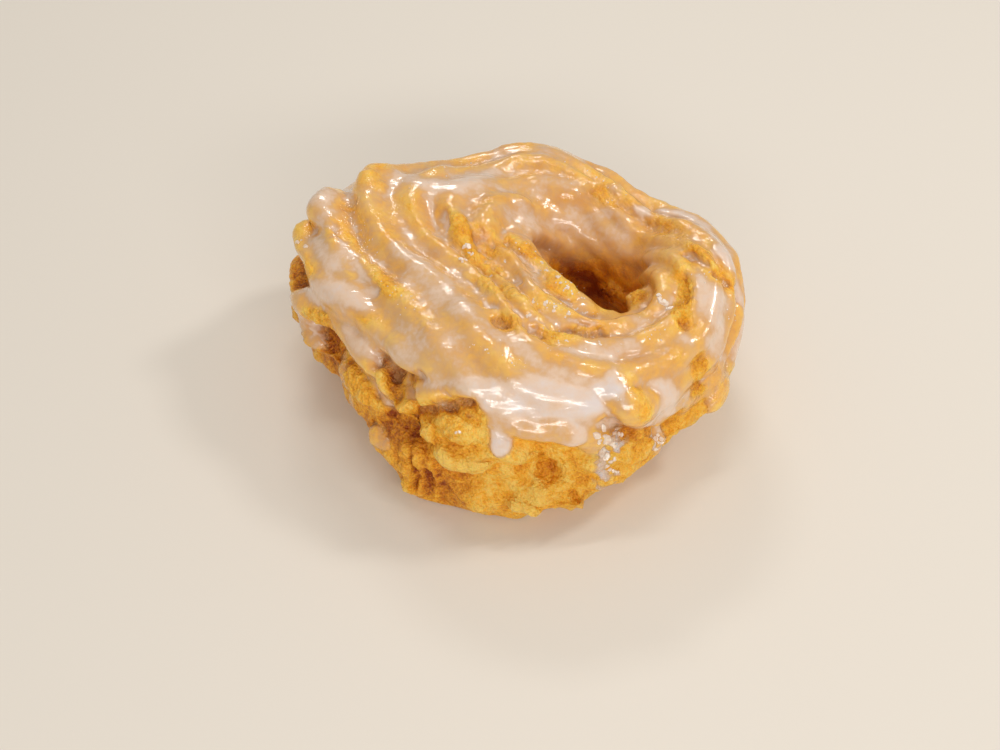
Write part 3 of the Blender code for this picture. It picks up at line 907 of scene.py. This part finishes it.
# Set sugar glaze: smooth, glassy and milky. A thin coat only veils the crust with a peach tint,
# and a deep pool of it is white with a hint of lilac.
icing = new_material("poured sugar glaze")
shader = {
    "Base Color": glazed_colour(icing),
    "Roughness": glazed_gloss(icing, dry=0.35, film=0.22, glassy=0.25),
    "IOR": 1.49,
    "Subsurface Weight": 0.25,
    "Subsurface Radius": (1.0, 0.8, 0.6),
    "Subsurface Scale": 1.2 * MM,
    "Normal": crust_grain(icing, depth=0.6),
    "Coat Normal": glaze_ripples(icing),
    "Coat Weight": glazed_gloss(icing, dry=0.2, film=0.7, glassy=1.0),
    "Coat Roughness": 0.08,
    "Coat IOR": 1.5,
}
add(icing, "ShaderNodeBsdfPrincipled", shader)
glaze.data.materials.clear()
glaze.data.materials.append(icing)
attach(glaze, "root")


# Sugar flakes: where the glaze dried first it cracked and came up as brittle white flakes and
# coarse crystals. They lie stuck in the film, on the ridges and at the broken edge in front. The
# small white grains on the crests also stand in for the glints of the sugary crust, as painted
# highlights.
FLAKE_SHAPES = 4
FLAKE_SIDES = 7
FLAKE_THICK = 0.22
FLAKE_UNEVEN = 0.16
FLAKE_BEVEL = 0.8
FLAKE_SINK = 0.05
FLAKE_LEAN = 0.5
FLAKE_COLOUR = "#F7ECDF"

# Each flake: width in millimetres, and the photo pixel where it lies. It broke into a few, this
# share of its width each, this many pixels apart for a millimetre of width.
FLAKE_SHARE = (0.5, 0.9)
FLAKES_TOGETHER = 3
FLAKE_SPREAD = 1.2
FLAKES = (
    (2.8, (660, 297)), (2.3, (662, 304)), (1.9, (669, 310)), (1.7, (467, 247)), (1.4, (471, 254)),
    (1.6, (464, 259)), (1.6, (300, 241)), (1.2, (305, 246)), (3.4, (603, 432)), (3.0, (611, 438)),
    (1.7, (618, 434)), (1.4, (600, 441)), (2.6, (608, 446)), (2.4, (604, 455)), (2.2, (612, 460)),
    (1.7, (607, 468)), (1.3, (616, 471)), (1.9, (657, 434)), (1.4, (661, 443)), (1.3, (655, 449)),
    (1.3, (546, 304)), (1.2, (556, 308)), (1.4, (568, 312)), (1.0, (577, 309)), (1.2, (586, 313)),
    (1.0, (534, 301)), (1.2, (548, 270)), (1.0, (557, 277)), (1.3, (566, 287)), (0.9, (560, 284)),
    (1.0, (572, 293)), (0.9, (541, 263)), (1.2, (528, 316)), (0.9, (492, 276)), (0.9, (505, 262)),
    (1.0, (456, 433)), (0.9, (618, 398)), (1.2, (638, 187)), (1.0, (600, 345)), (0.9, (566, 340)),
)

# Ways in photo pixels along which coarse grains of sugar lie, on the crests of the ridges, how far
# off them in pixels, and the grains' width in millimetres. The grains are partly real crystals and
# partly white specks that stand in for the crust's glints, as painted highlights.
GRAINS_AND_GLINTS_ON_A_WAY = 19
GRAIN_SPREAD = 7.0
GRAIN_SIZE = (0.25, 0.6)
GRAIN_SEED = 11
GRAIN_AND_GLINT_WAYS = (
    ((524, 299), (560, 305), (598, 314)),
    ((536, 260), (556, 276), (574, 297)),
    ((522, 244), (546, 262), (572, 284), (592, 300)),
    ((536, 336), (580, 344), (622, 352)),
    ((640, 322), (652, 328), (668, 330)),
    ((392, 288), (412, 302), (430, 320)),
    ((556, 172), (590, 178), (628, 196)),
    ((352, 212), (360, 236), (372, 256)),
    ((404, 190), (430, 178), (470, 172)),
    ((470, 344), (500, 356), (530, 366)),
    ((700, 276), (718, 290), (730, 318)),
)

outer_surfaces = [
    BVHTree.FromPolygons(
        [point.co for point in piece.data.vertices],
        [face.vertices for face in piece.data.polygons],
    )
    for piece in (dough, glaze)
]


def seen_surface(pixel):
    """The place and facing of the outermost surface at a photo pixel, or nothing."""
    ray = photo_ray(*pixel)
    hits = [tree.ray_cast(Vector(CAMERA_PLACE), ray) for tree in outer_surfaces]
    hits = [hit for hit in hits if hit[0] is not None]
    return min(hits, key=lambda hit: hit[3])[:2] if hits else None


def flat_flake(name, seed):
    """One broken flake, 1 m wide, to be scaled: an uneven thin plate with bevelled edges."""
    bpy.ops.object.select_all(action="DESELECT")
    bpy.ops.mesh.primitive_circle_add(vertices=FLAKE_SIDES, radius=0.5, fill_type="NGON")
    flake = bpy.context.active_object
    flake.name = name
    bpy.ops.object.mode_set(mode="EDIT")
    bpy.ops.transform.vertex_random(offset=FLAKE_UNEVEN, seed=seed)
    bpy.ops.mesh.extrude_region_move(TRANSFORM_OT_translate={"value": (0.0, 0.0, FLAKE_THICK)})
    bpy.ops.transform.resize(value=(FLAKE_BEVEL, FLAKE_BEVEL, 1.0))
    bpy.ops.mesh.select_all(action="SELECT")
    bpy.ops.mesh.normals_make_consistent(inside=False)
    bpy.ops.object.mode_set(mode="OBJECT")
    return flake


shapes = [flat_flake("flake " + str(seed), seed) for seed in range(FLAKE_SHAPES)]
drawn = np.random.default_rng(GRAIN_SEED)
spots = [
    (
        width * drawn.uniform(*FLAKE_SHARE),
        np.add(pixel, drawn.normal(0.0, FLAKE_SPREAD * width, 2)),
    )
    for width, pixel in FLAKES
    for _ in range(FLAKES_TOGETHER)
]
for way in GRAIN_AND_GLINT_WAYS:
    for _ in range(GRAINS_AND_GLINTS_ON_A_WAY):
        step = drawn.uniform(0.0, len(way) - 1.0)
        pixel = [np.interp(step, range(len(way)), values) for values in zip(*way)]
        spots.append((drawn.uniform(*GRAIN_SIZE), pixel + drawn.normal(0.0, GRAIN_SPREAD, 2)))
pieces = []
for index, (width, pixel) in enumerate(spots):
    found = seen_surface(pixel)
    if found is None:
        continue
    place, facing = found
    mesh = shapes[index % len(shapes)].data.copy()
    lean = Matrix.Rotation(drawn.uniform(-FLAKE_LEAN, FLAKE_LEAN), 4, "X")
    turn = Matrix.Rotation(drawn.uniform(0.0, 2 * math.pi), 4, "Z")
    stand = facing.to_track_quat("Z", "Y").to_matrix().to_4x4()
    narrow = width * drawn.uniform(*FLAKE_SHARE)
    size = Matrix.Diagonal((width * MM, narrow * MM, width * MM, 1.0))
    sunk = Matrix.Translation(place - facing * FLAKE_SINK * MM)
    mesh.transform(sunk @ stand @ turn @ lean @ size)
    pieces.append(add_object("sugar flake", mesh))
for shape in shapes:
    bpy.data.objects.remove(shape)
bpy.ops.object.select_all(action="DESELECT")
for piece in pieces:
    piece.select_set(True)
flakes = pieces[0]
bpy.context.view_layer.objects.active = flakes
bpy.ops.object.join()
flakes.name = "sugar_flakes"

# Crystallised sugar: white and slightly see-through, broken and not poured, so each facet gives
# one hard spark. Its clouds are drawn as wide as a small flake, coarser than real crystals.
CLOUD_SIZE = 1.0

sugar = new_material("crystallised sugar")
point = add(sugar, "ShaderNodeTexCoord", {}, "Object")
clouds = {"Vector": point, "Scale": 1.0 / (CLOUD_SIZE * MM), "Detail": 2.0}
clouds = add(sugar, "ShaderNodeTexNoise", clouds)
stops = ((0.3, GLAZE_MILKY), (0.7, FLAKE_COLOUR))
shader = {
    "Base Color": add(sugar, "ShaderNodeValToRGB", {"Fac": clouds}, stops=stops),
    "Roughness": 0.18,
    "IOR": 1.54,
    "Subsurface Weight": 0.15,
    "Subsurface Radius": (1.0, 0.9, 0.8),
    "Subsurface Scale": 0.3 * MM,
}
add(sugar, "ShaderNodeBsdfPrincipled", shader)
flakes.data.materials.clear()
flakes.data.materials.append(sugar)
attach(flakes, "root")


# The floor and the lamps: a plain pale floor, matt all over. A narrow lamp overhead, a small one on
# the right and one behind give the glaze its crisp lights, a wide low one in front lights the
# foot, and pale light comes from all round.
FLOOR_SIZE = 3.0
FLOOR_COLOUR = "#E6E0D6"
LAMP_COLOUR = "#FFFCF9"
LAMPS = {  # place and size in metres, power in watts
    "overhead": ((-0.04, 0.15, 0.80), (0.32, 0.05), 0.9),
    "right": ((0.42, 0.12, 0.50), (0.09, 0.09), 0.85),
    "back": ((-0.10, 0.60, 0.58), (0.22, 0.09), 1.0),
    "front": ((0.10, -0.62, 0.36), (0.70, 0.11), 2.3),
}
SURROUNDINGS_COLOUR = "#F8F1E8"
SURROUNDINGS_STRENGTH = 0.46

bpy.ops.object.select_all(action="DESELECT")
bpy.ops.mesh.primitive_plane_add(size=FLOOR_SIZE)
floor = bpy.context.active_object
floor.name = "floor"
floor_paint = new_material("matt floor paint")
shader = {"Base Color": linear(FLOOR_COLOUR), "Roughness": 0.8}
add(floor_paint, "ShaderNodeBsdfPrincipled", shader)
floor.data.materials.append(floor_paint)

for name, (place, size, power) in LAMPS.items():
    lamp = bpy.data.objects.new(name, bpy.data.lights.new(name, "AREA"))
    lamp.data.shape = "RECTANGLE"
    lamp.data.size, lamp.data.size_y = size
    lamp.data.energy = power
    lamp.data.color = linear(LAMP_COLOUR)[:3]
    lamp.location = place
    lamp.rotation_euler = Vector(place).to_track_quat("Z", "Y").to_euler()
    bpy.context.scene.collection.objects.link(lamp)

world = bpy.data.worlds.new("pale surroundings")
world.use_nodes = True
background = world.node_tree.nodes["Background"]
background.inputs["Color"].default_value = linear(SURROUNDINGS_COLOUR)
background.inputs["Strength"].default_value = SURROUNDINGS_STRENGTH
bpy.context.scene.world = world
bpy.context.scene.view_settings.view_transform = "Standard"
